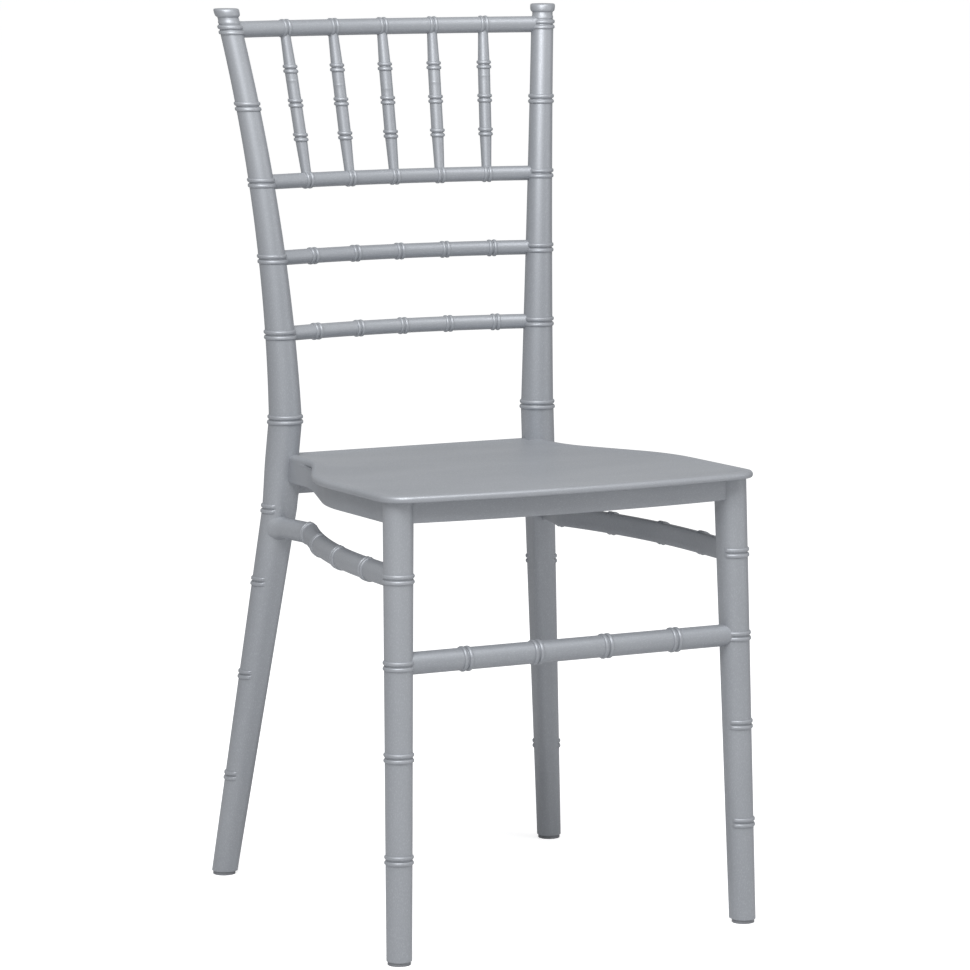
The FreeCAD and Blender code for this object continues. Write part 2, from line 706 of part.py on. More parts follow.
def arcBetween(first, second, centre):
    """Sketch arc about a centre, taken the short way round."""
    radius = (first - centre).Length
    angles = [math.atan2(point.y - centre.y, point.x - centre.x) for point in (first, second)]
    if (angles[1] - angles[0]) % (2 * math.pi) > math.pi:
        angles.reverse()
    up = FreeCAD.Vector(0, 0, 1)
    return Part.ArcOfCircle(Part.Circle(centre, up, radius), angles[0], angles[1])


def drawPlan(sketch, wide, front, corner, inset):
    """Draws the outline in a sketch, tangent all along, held by the sheet's sizes."""
    grow = " + " + inset
    less = " - " + inset
    half, bowAt = SeatPlan(wide, front, corner, value(inset)).edges()
    run = [(flipped(half[0][0]), half[0][0], None)] + half
    run.append((half[-1][1], flipped(half[-1][1]), bowAt))
    run += [(flipped(last), flipped(first), centre and flipped(centre))
            for first, last, centre in reversed(half)]
    for first, last, centre in run:
        sketch.addGeometry(arcBetween(first, last, centre) if centre else Part.LineSegment(first, last))

    def end(number, point):
        start = sketch.getPoint(number, 1)
        return 1 if (start - point).Length < 1e-5 else 2

    def join(kind, number):
        follower = (number + 1) % len(run)
        point = run[number][1]
        sketch.addConstraint(Sketcher.Constraint(kind, number, end(number, point), follower,
                                                 end(follower, point)))

    def drive(kind, text, *where):
        index = sketch.addConstraint(Sketcher.Constraint(kind, *where, value(text)))
        name = "%s%d" % (kind.lower(), index)
        sketch.renameConstraint(index, name)
        sketch.setExpression("Constraints." + name, cell(text))

    join("Coincident", 0)
    for number in range(1, 8):
        join("Tangent", number)
    for number in range(8, len(run)):
        join("Coincident", number)
    sketch.addConstraint(Sketcher.Constraint("Vertical", 1))
    sketch.addConstraint(Sketcher.Constraint("Vertical", 5))
    sketch.addConstraint(Sketcher.Constraint("PointOnObject", 7, 3, -2))
    drive("DistanceX", "seatNeckX" + less, -1, 1, 1, 1)
    drive("DistanceY", "seatRearY" + less, -1, 1, 1, 1)
    drive("DistanceY", "ogeeStartY", -1, 1, 1, 2)
    drive("Radius", "ogeeHollow" + grow, 2)
    drive("Radius", "ogeeRound" + less, 4)
    drive("DistanceX", wide + less, -1, 1, 5, 1)
    drive("DistanceY", "ogeeEndY", -1, 1, 5, 1)
    drive("Radius", corner + less, 6)
    drive("Radius", "frontBowRadius" + less, 7)
    drive("DistanceY", "%s + frontBowRadius" % front, -1, 1, 7, 3)
    for number in range(1, 7):
        other = len(run) - number
        here = run[number][0]
        sketch.addConstraint(Sketcher.Constraint("Symmetric", number, end(number, here), other,
                                                 end(other, flipped(here)), -2))
    for number in (2, 4, 6):
        sketch.addConstraint(Sketcher.Constraint("Equal", number, len(run) - number))
    return sketch


seatBody = doc.addObject("PartDesign::Body", "seat_body")


def seatSketch(name, depth):
    """A level sketch in the seat's body, set below the rim's top."""
    sketch = sketchOn(seatBody, name, "XY_Plane")
    bind(sketch, AttachmentOffset__Base__z="-(%s)" % depth)
    return sketch


def seatFeature(kind, name, sketch, length):
    feature = seatBody.newObject("PartDesign::" + kind, name)
    feature.Profile = sketch
    feature.Reversed = kind == "Pad"
    bind(feature, Length=length)
    return feature


rim = seatFeature("Pad", "seat_rim", drawPlan(seatSketch("rim_plan", "0"), "seatWideX", "seatFrontY",
                                              "rimCornerRadius", "0"), "rimThickness")
doc.recompute()
rimEdges = []
for number, edge in enumerate(rim.Shape.Edges, 1):
    if edge.BoundBox.ZLength < 1e-6 and edge.BoundBox.YMin < size("seatRearY") - 1:
        rimEdges.append("Edge%d" % number)
rounding = seatBody.newObject("PartDesign::Chamfer", "seat_rim_bevel")
rounding.Base = (rim, rimEdges)
bind(rounding, Size="rimBevel")
skirt = seatFeature("Pad", "seat_skirt", drawPlan(seatSketch("skirt_plan", "rimThickness / 2"),
                                                  "skirtWideX", "apronFrontY", "skirtCornerRadius", "0"),
                    "skirtDepth - rimThickness / 2")
PANEL = "dishDepth + skirtWall"
well = seatFeature("Pocket", "seat_well", drawPlan(seatSketch("well_plan", PANEL), "skirtWideX",
                                                   "apronFrontY", "skirtCornerRadius", "skirtWall"),
                   "skirtDepth")
apronPlan = seatSketch("apron_plan", "rimThickness / 2")
polyline(apronPlan, [("-seatNeckX", "seatRearY"), ("seatNeckX", "seatRearY"),
                     ("seatNeckX", "seatRearY - skirtWall"), ("-seatNeckX", "seatRearY - skirtWall")])
apron = seatFeature("Pad", "rear_apron", apronPlan, "rearApronDepth - rimThickness / 2")
dish = seatFeature("Pocket", "seat_dish", drawPlan(seatSketch("dish_plan", "0"), "seatWideX", "seatFrontY",
                                                   "rimCornerRadius", "rimLand"), "dishDepth")
seatBody.Tip = dish

ribSpace = doc.addObject("Part::Extrusion", "rib_space")
ribSpace.Base = drawPlan(doc.addObject("Sketcher::SketchObject", "rib_plan"), "skirtWideX",
                         "apronFrontY", "skirtCornerRadius", "skirtWall / 2")
ribSpace.DirMode = "Normal"
ribSpace.Solid = True
bind(ribSpace, LengthRev=PANEL + " + ribHeight")
ribs = []
for step in range(-2, 3):
    along = doc.addObject("Part::Box", "rib_along_%d" % (step + 2))
    bind(along, Length="ribWall", Width="seatRearY - seatFrontY", Height="ribHeight + 1")
    ribs.append(placeAt(along, "%d * ribPitchX - ribWall / 2" % step, "seatFrontY",
                        "-(%s + ribHeight)" % PANEL))
    across = doc.addObject("Part::Box", "rib_across_%d" % (step + 2))
    bind(across, Length="2 * seatWideX", Width="ribWall", Height="ribHeight + 1")
    ribs.append(placeAt(across, "-seatWideX", "(seatRearY + apronFrontY) / 2 + %d * ribPitchY - ribWall / 2" % step,
                        "-(%s + ribHeight)" % PANEL))
ribNet = doc.addObject("Part::MultiCommon", "rib_net")
ribNet.Shapes = [fuse("rib_grid", ribs), ribSpace]
seatShell = fuse("seat_shell", [seatBody, ribNet])
seatShell.Placement.Rotation = FreeCAD.Rotation(FreeCAD.Vector(-1, 0, 0), 1)
bind(seatShell, Placement__Rotation__Angle="seatRake")
placeAt(seatShell, "0", "0", "seatZ")


# Joints of the seat: pegs down into the hollow front legs, tenons back into the posts.
seatCutters = [
    waistStretch("post_space", "fit"),
    legTop("rear_space", POST_AT_SEAT + (POST_AT_SEAT_Z,), lowerAxis, "kneeZ", "kneeRadius", "kneeCorner",
           -90, "fit"),
    legTop("front_space", point(frontAxis, FRONT_TOP), frontAxis, BELOW_STRETCHER,
           frontRadius(BELOW_STRETCHER), "frontCorner", 0, "fit"),
]
seatCutters += [mirror(item.Name + "_right", item) for item in seatCutters]
seatCut = cut("seat_cut", seatShell, fuse("seat_cutters", seatCutters))


def peg(name, extra):
    """The peg above a front leg, or with `extra` clearance its bore."""
    item = doc.addObject("Part::Cylinder", name)
    x, y = frontAxis(FRONT_TOP)
    bind(item, Radius="pegRadius + " + extra, Height="pegLength + rimThickness / 2 + fit + " + extra)
    return placeAt(item, x, y, "%s - pegLength - %s" % (FRONT_TOP, extra))


def tenon(name, extra, root):
    """The tenon into a rear post, or with `extra` clearance its mortise."""
    item = doc.addObject("Part::Box", name)
    bind(item, Length="tenonWide + 2 * " + extra, Width="%s + tenonLetIn + %s" % (root, extra),
         Height="tenonTall + 2 * " + extra)
    return placeAt(item, "-postWaistX - " + extra, "postWaistY - postWaistRadius - " + root,
                   "%s - tenonDrop - tenonTall - %s" % (seatTop("postWaistY"), extra))


seatPegs = [peg("seat_peg", "0"), tenon("seat_tenon", "0", "tenonRoot")]
seatPegs += [mirror(item.Name + "_right", item) for item in seatPegs]
node(fuse("seat_whole", [seatCut] + seatPegs), "seat")


# Feet: each leg stands on a glide whose stem is pushed up into it.
def glide(name, x, y, radius):
    disc = doc.addObject("Part::Prism", name + "_disc")
    bind(disc, Polygon="glideSides", Circumradius=radius + " - glideInset", Height="glideHeight")
    placeAt(disc, x, y, "0")
    stem = doc.addObject("Part::Box", name + "_stem")
    bind(stem, Length="stemWide", Width="stemWide", Height="glideHeight + stemLength")
    placeAt(stem, x + " - stemWide / 2", y + " - stemWide / 2", "0")
    bore = doc.addObject("Part::Box", name + "_bore")
    wide = "stemWide + 2 * fit"
    bind(bore, Length=wide, Width=wide, Height="glideHeight + stemLength + fit")
    placeAt(bore, x + " - stemWide / 2 - fit", y + " - stemWide / 2 - fit", "0")
    return fuse(name + "_blank", [disc, stem]), bore


def pair(item, label):
    """A left-hand member and its right-hand mirror image."""
    node(item, label + "_left")
    node(mirror(label + "_mirrored", item), label + "_right")


rearGlide, rearBore = glide("rear_glide", footX, footY, "rearFootRadius")
frontFoot = frontAxis("glideHeight")
frontGlide, frontBore = glide("front_glide", frontFoot[0], frontFoot[1], "frontFootRadius")
pair(rearGlide, "glide_rear")
pair(frontGlide, "glide_front")
pair(sideStretcher, "side_stretcher")
postTools += [sideSocket, tenon("post_mortise", "fit", "tenonRoot"), rearBore]
pair(cut("post_cut", postBlank, fuse("post_tools", postTools)), "rear_post")
frontTools = [stretcherSocket, sideSocket, peg("peg_bore", "fit"), frontBore]
pair(cut("front_cut", frontBlank, fuse("front_tools", frontTools)), "front_leg")
doc.recompute()

for item in doc.Objects:
    if {"Invalid", "Error"} & set(item.State):
        raise RuntimeError("%s did not build: %s" % (item.Name, item.State))
os.makedirs("parts", exist_ok=True)
total = 0.0
for item in NODES:
    shape = item.Shape
    if shape.isNull() or not shape.isValid() or len(shape.Solids) != 1:
        raise RuntimeError("%s is not one sound solid" % item.Label)
    total += shape.Volume
    shape.exportStep("parts/%s.step" % item.Label)
print("%d members, %.0f cm3" % (len(NODES), total / 1000))
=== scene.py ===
import bmesh
import bpy
import math
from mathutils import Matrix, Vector


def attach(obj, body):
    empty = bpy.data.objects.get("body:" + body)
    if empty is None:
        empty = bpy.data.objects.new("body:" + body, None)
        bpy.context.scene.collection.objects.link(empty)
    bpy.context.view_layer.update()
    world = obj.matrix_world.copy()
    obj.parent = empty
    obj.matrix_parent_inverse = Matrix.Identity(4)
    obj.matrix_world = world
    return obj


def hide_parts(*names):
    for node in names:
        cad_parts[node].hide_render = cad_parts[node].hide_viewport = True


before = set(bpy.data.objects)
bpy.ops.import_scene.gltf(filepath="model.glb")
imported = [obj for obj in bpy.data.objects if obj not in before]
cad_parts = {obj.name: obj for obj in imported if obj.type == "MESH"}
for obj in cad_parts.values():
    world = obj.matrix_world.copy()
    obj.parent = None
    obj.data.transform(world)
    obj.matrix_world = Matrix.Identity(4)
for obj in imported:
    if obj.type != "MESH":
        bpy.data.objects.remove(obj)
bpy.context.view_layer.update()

# Dictionaries hold millimetres and degrees. The floor is zero and the seat's front faces -Y.
mm = 0.001
sides = {"left": -1, "right": 1}
sectionPoints = {"post": 64, "leg": 64, "rail": 48, "spindle": 40, "stretcher": 56, "sideRail": 56}
sharpAngle = 38


def mixed(first, second, share):
    return first + (second - first) * share


def smoothStep(low, high, at):
    share = min(1.0, max(0.0, (at - low) / (high - low)))
    return share * share * (3 - 2 * share)


# materials: silver-grey resin with a fine metallic pigment
resin = {
    "colour": (0.344, 0.362, 0.390), "dark": (0.304, 0.321, 0.350), "pale": (0.390, 0.408, 0.436),
    "roughness": (0.52, 0.43), "metallic": 0.45, "coat": 0.04, "coatRoughness": 0.4,
    "flow": 9.0, "flowMix": 0.45, "flowRange": (0.3, 0.7),
    "fleck": 1500.0, "fleckMix": 0.22, "fleckRange": (0.52, 0.72), "shineRange": (0.35, 0.7),
    "grain": 850.0, "grainBump": 0.05, "seatGrain": 620.0, "seatBump": 0.085,
    "postStretch": (1.0, 1.0, 0.35), "railStretch": (0.35, 1.0, 1.0), "seatStretch": (0.4, 1.0, 1.0),
}
glidePlastic = {
    "pale": (0.25, 0.26, 0.28), "dark": (0.20, 0.208, 0.224), "roughness": (0.55, 0.68), "grain": 700.0,
    "grainRange": (0.3, 0.7), "bump": 0.06,
}
bumpDistance = 0.0004  # metres


def newGroup(name, inputs, outputs):
    group = bpy.data.node_groups.new(name, "ShaderNodeTree")
    for label, kind, value in inputs:
        socket = group.interface.new_socket(label, in_out="INPUT", socket_type=kind)
        if value is not None:
            socket.default_value = value
    for label, kind in outputs:
        group.interface.new_socket(label, in_out="OUTPUT", socket_type=kind)
    return group, group.nodes.new("NodeGroupInput"), group.nodes.new("NodeGroupOutput")


def noiseNode(tree, vector, scale, detail, rough=0.5):
    node = tree.nodes.new("ShaderNodeTexNoise")
    node.inputs["Detail"].default_value = detail
    node.inputs["Roughness"].default_value = rough
    if isinstance(scale, (int, float)):
        node.inputs["Scale"].default_value = scale
    else:
        tree.links.new(scale, node.inputs["Scale"])
    tree.links.new(vector, node.inputs["Vector"])
    return node


def mapRange(tree, value, low, high, toLow, toHigh):
    node = tree.nodes.new("ShaderNodeMapRange")
    node.interpolation_type = "SMOOTHSTEP"
    for label, number in (("From Min", low), ("From Max", high), ("To Min", toLow), ("To Max", toHigh)):
        node.inputs[label].default_value = number
    tree.links.new(value, node.inputs["Value"])
    return node.outputs["Result"]


def mixColour(tree, share, first, second, blend="MIX"):
    node = tree.nodes.new("ShaderNodeMix")
    node.data_type = "RGBA"
    node.blend_type = blend
    for socket, value in ((node.inputs[0], share), (node.inputs[6], first), (node.inputs[7], second)):
        if isinstance(value, bpy.types.NodeSocket):
            tree.links.new(value, socket)
        elif isinstance(value, tuple):
            socket.default_value = (*value, 1.0)
        else:
            socket.default_value = value
    return node.outputs[2]


def makePigmentGroup():
    group, given, made = newGroup(
        "pigmentedResin",
        [("Vector", "NodeSocketVector", None), ("Flow", "NodeSocketFloat", resin["flow"]),
         ("Fleck", "NodeSocketFloat", resin["fleck"]), ("Grain", "NodeSocketFloat", resin["grain"]),
         ("Base", "NodeSocketColor", (*resin["colour"], 1.0)),
         ("Dark", "NodeSocketColor", (*resin["dark"], 1.0)),
         ("Pale", "NodeSocketColor", (*resin["pale"], 1.0))],
        [("Colour", "NodeSocketColor"), ("Roughness", "NodeSocketFloat"), ("Height", "NodeSocketFloat")])
    links = group.links
    flow = noiseNode(group, given.outputs["Vector"], given.outputs["Flow"], 4, 0.6)
    flowShare = mapRange(group, flow.outputs["Fac"], *resin["flowRange"], 0.0, 1.0)
    streaks = mixColour(group, flowShare, given.outputs["Dark"], given.outputs["Pale"])
    body = mixColour(group, resin["flowMix"], given.outputs["Base"], streaks)
    fleck = noiseNode(group, given.outputs["Vector"], given.outputs["Fleck"], 1)
    fleckShare = mapRange(group, fleck.outputs["Fac"], *resin["fleckRange"], 0.0, resin["fleckMix"])
    flecked = mixColour(group, fleckShare, body, given.outputs["Pale"], "SCREEN")
    grain = noiseNode(group, given.outputs["Vector"], given.outputs["Grain"], 2)
    links.new(flecked, made.inputs["Colour"])
    roughness = mapRange(group, fleck.outputs["Fac"], *resin["shineRange"], *resin["roughness"])
    links.new(roughness, made.inputs["Roughness"])
    links.new(grain.outputs["Fac"], made.inputs["Height"])
    return group


pigment = makePigmentGroup()


def plainMaterial(name):
    material = bpy.data.materials.new(name)
    material.use_nodes = True
    tree = material.node_tree
    tree.nodes.clear()
    out = tree.nodes.new("ShaderNodeOutputMaterial")
    shader = tree.nodes.new("ShaderNodeBsdfPrincipled")
    tree.links.new(shader.outputs[0], out.inputs["Surface"])
    place = tree.nodes.new("ShaderNodeTexCoord").outputs["Object"]
    return material, tree, shader, place


def bumped(tree, shader, height, strength):
    bump = tree.nodes.new("ShaderNodeBump")
    bump.inputs["Strength"].default_value = strength
    bump.inputs["Distance"].default_value = bumpDistance
    tree.links.new(height, bump.inputs["Height"])
    tree.links.new(bump.outputs["Normal"], shader.inputs["Normal"])


def resinMaterial(name, stretch, grain, bump):
    material, tree, shader, place = plainMaterial(name)
    mapping = tree.nodes.new("ShaderNodeMapping")
    mapping.inputs["Scale"].default_value = stretch
    tree.links.new(place, mapping.inputs["Vector"])
    look = tree.nodes.new("ShaderNodeGroup")
    look.node_tree = pigment
    look.inputs["Grain"].default_value = grain
    tree.links.new(mapping.outputs["Vector"], look.inputs["Vector"])
    tree.links.new(look.outputs["Colour"], shader.inputs["Base Color"])
    tree.links.new(look.outputs["Roughness"], shader.inputs["Roughness"])
    shader.inputs["Metallic"].default_value = resin["metallic"]
    shader.inputs["Coat Weight"].default_value = resin["coat"]
    shader.inputs["Coat Roughness"].default_value = resin["coatRoughness"]
    bumped(tree, shader, look.outputs["Height"], bump)
    return material


frameResin = resinMaterial("frameResin", resin["postStretch"], resin["grain"], resin["grainBump"])
railResin = resinMaterial("railResin", resin["railStretch"], resin["grain"], resin["grainBump"])
seatResin = resinMaterial("seatResin", resin["seatStretch"], resin["seatGrain"], resin["seatBump"])
footPlastic, tree, shader, place = plainMaterial("glidePlastic")
speckle = noiseNode(tree, place, glidePlastic["grain"], 2)
speckleRoughness = mapRange(tree, speckle.outputs["Fac"], *glidePlastic["grainRange"],
                            *glidePlastic["roughness"])
speckleColour = mixColour(tree, speckle.outputs["Fac"], glidePlastic["pale"], glidePlastic["dark"])
tree.links.new(speckleRoughness, shader.inputs["Roughness"])
tree.links.new(speckleColour, shader.inputs["Base Color"])
bumped(tree, shader, speckle.outputs["Fac"], glidePlastic["bump"])
print("materials made")


# shared ways of making a member
def finishPiece(bm, name, node, material):
    bmesh.ops.recalc_face_normals(bm, faces=bm.faces[:])
    mesh = bpy.data.meshes.new(name)
    bm.to_mesh(mesh)
    bm.free()
    mesh.set_sharp_from_angle(angle=math.radians(sharpAngle))
    piece = bpy.data.objects.new(name, mesh)
    bpy.context.scene.collection.objects.link(piece)
    mesh.materials.append(material)
    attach(piece, "root")
    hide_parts(node)
    return piece


def makeSkin(loops):
    # one closed tube through loops of equally many points
    bm = bmesh.new()
    order = bm.verts.layers.int.new("order")
    bmesh.ops.create_circle(bm, cap_ends=True, segments=len(loops[0]), radius=1.0)
    turned = sorted(bm.verts, key=lambda vert: math.atan2(vert.co.y, vert.co.x))
    for number, vert in enumerate(turned):
        vert[order] = number
        vert.co = loops[0][number]
    edges = bm.edges[:]
    for loop in loops[1:]:
        grown = bmesh.ops.extrude_edge_only(bm, edges=edges)["geom"]
        for item in grown:
            if isinstance(item, bmesh.types.BMVert):
                item.co = loop[item[order]]
        edges = [item for item in grown if isinstance(item, bmesh.types.BMEdge) and item.is_boundary]
    bmesh.ops.contextual_create(bm, geom=edges)
    return bm


ring = {
    # across the ring and up from the member, as shares of its half height and its rise
    "profile": ((-1.1, 0.0), (-1.0, 0.0), (-0.97, 0.42), (-0.88, 0.8), (-0.74, 0.98), (-0.56, 1.0),
                (-0.37, 0.9), (-0.23, 0.62), (-0.15, 0.2), (-0.12, -0.22), (0.0, -0.3)),
    "postHalf": 4.8, "postRise": 1.5, "railHalf": 4.5, "railRise": 1.25, "spindleHalf": 4.3,
    "spindleRise": 1.45, "fade": 9.0, "clear": 1.25,
}
ring["profile"] += tuple((-across, rise) for across, rise in reversed(ring["profile"][:-1]))


def stationsWith(grid, rings, half):
    # distances along a member with the rise there: a grid kept clear of the rings, and their own points
    clear = [(at, 0.0) for at in grid if all(abs(at - middle) > ring["clear"] * half for middle in rings)]
    beads = [(middle + across * half, rise) for middle in rings for across, rise in ring["profile"]]
    return sorted(clear + beads)


def evenly(low, high, step):
    count = max(1, round((high - low) / step))
    return [mixed(low, high, number / count) for number in range(count + 1)]


def around(count):
    return [2 * math.pi * number / count - math.pi for number in range(count)]


def wrapped(angle):
    return (angle + math.pi) % (2 * math.pi) - math.pi


def ringCover(angle, middle, half):
    # 1 where a partial ring stands, fading to 0 at its ends
    aside = math.degrees(abs(wrapped(angle - math.radians(middle))))
    return smoothStep(0.0, ring["fade"], half - aside)


def squaredReach(angle, radius, corner, pointing):
    # distance to the outline of a round section with one quarter squared about `pointing`
    aside = wrapped(angle - math.radians(pointing - 45))
    if not 0 < aside < math.pi / 2 or corner >= radius:
        return radius
    away = min(aside, math.pi / 2 - aside)
    side = radius / math.cos(away)
    if side * math.sin(away) <= radius - corner:
        return side
    inner = (radius - corner) * math.sqrt(2)
    off = aside - math.pi / 4
    return inner * math.cos(off) + math.sqrt(corner ** 2 - (inner * math.sin(off)) ** 2)


# rear posts: flared and swept back above the seat, squared inside below it
post = {
    "height": 920.0, "top": (185.5, 216.1), "waist": (148.0, 154.6, 494.0), "flare": (0.024, 0.029),
    "knee": (154.5, 161.5, 400.0), "foot": (195.8, 217.1, 4.0), "topRadius": 12.0, "waistRadius": 17.3,
    "seatRadius": 17.6, "kneeRadius": 16.3, "footRadius": 13.1, "swell": 1.6, "squareFrom": 446.0,
    "squareTo": 432.0, "kneeCorner": 3.0, "footCorner": 9.5, "pointing": 225.0, "seatZ": 455.0,
    "topRing": 898.0, "ringPitch": 78.8, "legRings": (400.0, 322.0, 221.0, 110.0),
    "coverMiddle": 60.0, "coverHalf": 118.0, "neckRadius": 11.0, "headRadius": 13.4,
    "head": ((920.0, -1.9), (919.7, -0.8), (918.7, -0.1), (917.0, 0.0), (914.0, -0.2), (912.4, -0.7),
             (911.4, -1.7), (911.0, -2.4)),
    "shoulder": (905.5, 2.6, 0.7), "neck": (903.3, 904.2, 905.5, 906.8, 907.8, 909.4, 910.6),
    "gridTop": 903.0, "gridStep": 9.0,
}


def postAxis(z):
    # outward and backward place of the post's axis, the outward one positive
    waistZ, kneeZ = post["waist"][2], post["knee"][2]
    place = []
    for which in (0, 1):
        if z >= waistZ:
            run, whole = z - waistZ, post["height"] - waistZ
            rest = post["top"][which] - post["waist"][which] - post["flare"][which] * whole
            place.append(post["waist"][which] + post["flare"][which] * run + rest * (run / whole) ** 2)
        elif z >= kneeZ:
            place.append(mixed(post["knee"][which], post["waist"][which], (z - kneeZ) / (waistZ - kneeZ)))
        else:
            place.append(mixed(post["foot"][which], post["knee"][which], z / kneeZ))
    return place


def postRadius(z):
    waistZ, kneeZ = post["waist"][2], post["knee"][2]
    if z >= waistZ:
        share = max(0.0, (post["topRing"] - z) / (post["topRing"] - waistZ))
        return mixed(post["topRadius"], post["waistRadius"], share ** post["swell"])
    if z >= kneeZ:
        return mixed(post["kneeRadius"], post["seatRadius"], smoothStep(kneeZ, post["seatZ"], z))
    return mixed(post["footRadius"], post["kneeRadius"], z / kneeZ)


def postCorner(z):
    corner = mixed(post["footCorner"], post["kneeCorner"], min(1.0, z / post["knee"][2]))
    return mixed(corner, post["seatRadius"], smoothStep(post["squareTo"], post["squareFrom"], z))


upperRings = [post["topRing"] - number * post["ringPitch"] for number in range(5)] + [post["waist"][2]]


def levelLoop(side, axis, z, count, reachAt):
    # a level loop about an upright member, `reachAt` giving its radius at an angle from outward
    loop = []
    for angle in around(count):
        reach = reachAt(angle)
        x, y = axis[0] + reach * math.cos(angle), axis[1] + reach * math.sin(angle)
        loop.append(Vector((side * x, y, z)) * mm)
    return loop


def postLoops(side):
    rings = upperRings + list(post["legRings"])
    grid = evenly(post["foot"][2], post["gridTop"], post["gridStep"])
    shoulderAt, shoulderHalf, shoulderRise = post["shoulder"]
    loops = []
    for z, rise in stationsWith(grid, rings, ring["postHalf"]):
        partial = z < post["knee"][2] + 2 * ring["postHalf"]

        def reachAt(angle):
            cover = ringCover(angle, post["coverMiddle"], post["coverHalf"]) if partial else 1.0
            reach = squaredReach(angle, postRadius(z), postCorner(z), post["pointing"])
            return reach + rise * cover * ring["postRise"]

        loops.append(levelLoop(side, postAxis(z), z, sectionPoints["post"], reachAt))
    finial = [(z, post["neckRadius"] + shoulderRise * smoothStep(shoulderHalf, 0.0, abs(z - shoulderAt)))
              for z in post["neck"]]
    finial += [(z, post["headRadius"] + less) for z, less in reversed(post["head"])]
    for z, radius in finial:
        loops.append(levelLoop(side, postAxis(z), z, sectionPoints["post"], lambda angle: radius))
    return loops


for word, side in sides.items():
    finishPiece(makeSkin(postLoops(side)), "rearPost_" + word, "rear_post_" + word,
                frameResin)
print("rear posts made")


# front legs
frontLeg = {
    "foot": (194.2, -217.6), "top": (185.8, -200.2), "seatZ": 460.1, "footRadius": 12.7, "topRadius": 15.2,
    "corner": 8.0, "pointing": 135.0, "rings": (381.0, 296.0, 205.5, 104.5), "coverMiddle": -65.5,
    "coverHalf": 90.5, "footZ": 4.0, "topZ": 458.0, "gridStep": 12.0,
}


def frontAxis(z):
    share = z / frontLeg["seatZ"]
    return [mixed(foot, top, share) for foot, top in zip(frontLeg["foot"], frontLeg["top"])]


def frontRadius(z):
    return mixed(frontLeg["footRadius"], frontLeg["topRadius"], z / frontLeg["seatZ"])


def frontLoops(side):
    loops = []
    grid = evenly(frontLeg["footZ"], frontLeg["topZ"], frontLeg["gridStep"])
    for z, rise in stationsWith(grid, frontLeg["rings"], ring["postHalf"]):

        def reachAt(angle):
            cover = ringCover(angle, frontLeg["coverMiddle"], frontLeg["coverHalf"])
            reach = squaredReach(angle, frontRadius(z), frontLeg["corner"], frontLeg["pointing"])
            return reach + rise * cover * ring["postRise"]

        loops.append(levelLoop(side, frontAxis(z), z, sectionPoints["leg"], reachAt))
    return loops


for word, side in sides.items():
    finishPiece(makeSkin(frontLoops(side)), "frontLeg_" + word, "front_leg_" + word,
                frameResin)
print("front legs made")


# back rails, bowed backwards
rails = {
    "bow": 21.0, "topBow": 19.6, "endGap": 3.0, "topRadius": 8.65, "radius": 7.85, "topPitch": 58.2,
    "pitch": 52.6, "gridStep": 8.0,
    "names": {"top_rail": 0, "cross_rail_upper": 2, "cross_rail_middle": 3, "cross_rail_lower": 4},
}


def railLine(level):
    # half span, radius and centre of the arc that a rail follows
    halfSpan, back = postAxis(level)
    bow = rails["topBow"] if level == upperRings[0] else rails["bow"]
    radius = (halfSpan ** 2 + bow ** 2) / (2 * bow)
    centre = back + bow - radius
    return halfSpan, radius, centre


def railBack(level, x):
    halfSpan, radius, centre = railLine(level)
    return centre + math.sqrt(radius ** 2 - x ** 2)


def railLoops(level, thick, pitch):
    halfSpan, radius, centre = railLine(level)
    end = halfSpan - rails["endGap"]
    rings = [step * pitch for step in range(-2, 3)]
    loops = []
    for x, share in stationsWith(evenly(-end, end, rails["gridStep"]), rings, ring["railHalf"]):
        away = Vector((x, railBack(level, x) - centre, 0.0)).normalized()
        middle = Vector((x, railBack(level, x), level))
        reach = thick + share * ring["railRise"]
        up = Vector((0.0, 0.0, 1.0))
        loops.append([(middle + away * (reach * math.cos(angle)) + up * (reach * math.sin(angle))) * mm
                      for angle in around(sectionPoints["rail"])])
    return loops


for node, number in rails["names"].items():
    level = upperRings[number]
    thick = rails["topRadius"] if number == 0 else rails["radius"]
    pitch = rails["topPitch"] if number == 0 else rails["pitch"]
    finishPiece(makeSkin(railLoops(level, thick, pitch)), node.replace("_", ""), node,
                railResin)
print("back rails made")


# spindles, fanned between the two upper rails
spindle = {
    "middle": 820.5, "ringGap": 35.5, "endRadius": 5.2, "radius": 6.5, "letIn": 5.0,
    "gridStep": 6.0, "taper": 0.8,
    "welds": (844.0, 838.0, 833.0, 838.5, 844.5), "weldHalf": 0.5, "weldRise": 0.12,
}


